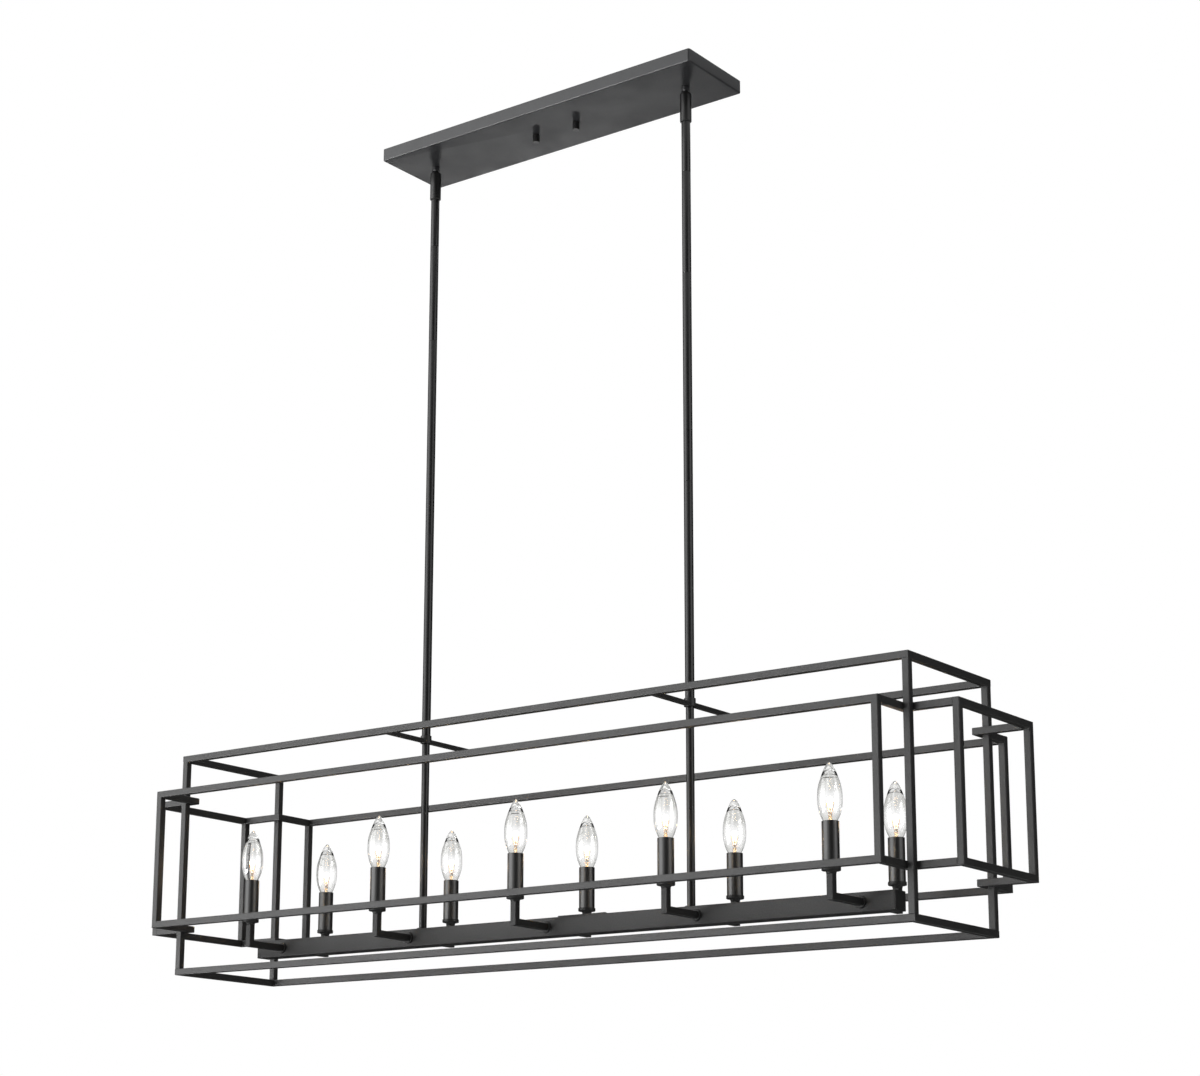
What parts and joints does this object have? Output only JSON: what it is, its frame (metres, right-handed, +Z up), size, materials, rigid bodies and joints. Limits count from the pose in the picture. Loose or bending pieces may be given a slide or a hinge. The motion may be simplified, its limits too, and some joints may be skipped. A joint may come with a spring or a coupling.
{
  "type": "linear island pendant",
  "caption": "Linear island pendant: an open cage of black square tube round two rows of clear candle lamps on a square beam, hung by two rods from a long ceiling pan.",
  "frame": {"origin": "centre of the ceiling pan's open face, where it meets the ceiling, which is the centre of the two outlet-box screw slots", "axes": "+Z up into the ceiling, +X along the length towards the right end, -Y towards the front"},
  "size_m": [1.372, 0.336, 1.2487],
  "materials": {
    "canopy_paint": "satin",
    "rod_paint": "satin",
    "frame_paint": "satin",
    "sleeve_paint": "satin",
    "plated_steel": "zinc plated",
    "socket_body": "matte",
    "wire": "matte",
    "connector": "gloss",
    "bulb_glass": "clear"
  },
  "bodies": {
    "ceiling_mount": {"canopy_pan": "canopy_paint", "mounting_plate": "plated_steel", "plate_studs": "plated_steel", "stud_lock_nuts": "plated_steel", "ground_screw": "plated_steel", "swivel_socket_left": "rod_paint", "swivel_socket_right": "rod_paint", "socket_washers": "plated_steel", "socket_lock_nuts": "plated_steel", "canopy_leads": "wire", "wire_connectors": "connector"},
    "fixture": {"swivel_ball_left": "rod_paint", "swivel_ball_right": "rod_paint", "coupler_left": "rod_paint", "coupler_right": "rod_paint", "rods_short": "rod_paint", "rods_medium": "rod_paint", "rods_long": "rod_paint", "rod_nipples": "plated_steel", "lower_stem_left": "rod_paint", "lower_stem_right": "rod_paint", "stem_flanges": "rod_paint", "stem_nuts": "plated_steel", "box_long_rails": "frame_paint", "box_end_rails": "frame_paint", "box_posts": "frame_paint", "ring_front_frame": "frame_paint", "ring_back_frame": "frame_paint", "ring_left_frame": "frame_paint", "ring_right_frame": "frame_paint", "ring_returns": "frame_paint", "crossbar_left": "frame_paint", "crossbar_right": "frame_paint", "crossbar_bosses": "frame_paint", "beam_tube": "frame_paint", "beam_end_caps": "frame_paint", "beam_cover_plate": "frame_paint", "cover_screws": "frame_paint", "light_arms_front": "frame_paint", "light_arms_back": "frame_paint", "arm_flanges": "frame_paint", "arm_nuts": "plated_steel", "candle_cups": "frame_paint", "lamp_sockets": "socket_body", "candle_sleeves": "sleeve_paint", "stem_leads": "wire", "beam_leads": "wire"},
    "canopy_nut_left": {"canopy_nut_left": "canopy_paint"},
    "canopy_nut_right": {"canopy_nut_right": "canopy_paint"},
    "bulb_front_1": {"bulb_front_1": "bulb_glass"},
    "bulb_front_2": {"bulb_front_2": "bulb_glass"},
    "bulb_front_3": {"bulb_front_3": "bulb_glass"},
    "bulb_front_4": {"bulb_front_4": "bulb_glass"},
    "bulb_front_5": {"bulb_front_5": "bulb_glass"},
    "bulb_back_1": {"bulb_back_1": "bulb_glass"},
    "bulb_back_2": {"bulb_back_2": "bulb_glass"},
    "bulb_back_3": {"bulb_back_3": "bulb_glass"},
    "bulb_back_4": {"bulb_back_4": "bulb_glass"},
    "bulb_back_5": {"bulb_back_5": "bulb_glass"}
  },
  "joints": [
    {"name": "fixture_swing", "type": "hinge", "parent": "ceiling_mount", "child": "fixture", "pos_m": [0, 0, -0.02359], "axis": [1, 0, 0], "range_deg": [-20, 20]},
    {"name": "canopy_nut_left_turn", "type": "hinge", "parent": "ceiling_mount", "child": "canopy_nut_left", "pos_m": [-0.037, 0, -0.0253], "axis": [0, 0, 1], "continuous": true},
    {"name": "canopy_nut_right_turn", "type": "hinge", "parent": "ceiling_mount", "child": "canopy_nut_right", "pos_m": [0.037, 0, -0.0253], "axis": [0, 0, 1], "continuous": true},
    {"name": "bulb_front_1_turn", "type": "hinge", "parent": "fixture", "child": "bulb_front_1", "pos_m": [-0.495, -0.082, -1.1137], "axis": [0, 0, 1], "continuous": true},
    {"name": "bulb_front_2_turn", "type": "hinge", "parent": "fixture", "child": "bulb_front_2", "pos_m": [-0.2475, -0.082, -1.1137], "axis": [0, 0, 1], "continuous": true},
    {"name": "bulb_front_3_turn", "type": "hinge", "parent": "fixture", "child": "bulb_front_3", "pos_m": [0, -0.082, -1.1137], "axis": [0, 0, 1], "continuous": true},
    {"name": "bulb_front_4_turn", "type": "hinge", "parent": "fixture", "child": "bulb_front_4", "pos_m": [0.2475, -0.082, -1.1137], "axis": [0, 0, 1], "continuous": true},
    {"name": "bulb_front_5_turn", "type": "hinge", "parent": "fixture", "child": "bulb_front_5", "pos_m": [0.495, -0.082, -1.1137], "axis": [0, 0, 1], "continuous": true},
    {"name": "bulb_back_1_turn", "type": "hinge", "parent": "fixture", "child": "bulb_back_1", "pos_m": [-0.495, 0.082, -1.1137], "axis": [0, 0, 1], "continuous": true},
    {"name": "bulb_back_2_turn", "type": "hinge", "parent": "fixture", "child": "bulb_back_2", "pos_m": [-0.2475, 0.082, -1.1137], "axis": [0, 0, 1], "continuous": true},
    {"name": "bulb_back_3_turn", "type": "hinge", "parent": "fixture", "child": "bulb_back_3", "pos_m": [0, 0.082, -1.1137], "axis": [0, 0, 1], "continuous": true},
    {"name": "bulb_back_4_turn", "type": "hinge", "parent": "fixture", "child": "bulb_back_4", "pos_m": [0.2475, 0.082, -1.1137], "axis": [0, 0, 1], "continuous": true},
    {"name": "bulb_back_5_turn", "type": "hinge", "parent": "fixture", "child": "bulb_back_5", "pos_m": [0.495, 0.082, -1.1137], "axis": [0, 0, 1], "continuous": true}
  ]
}
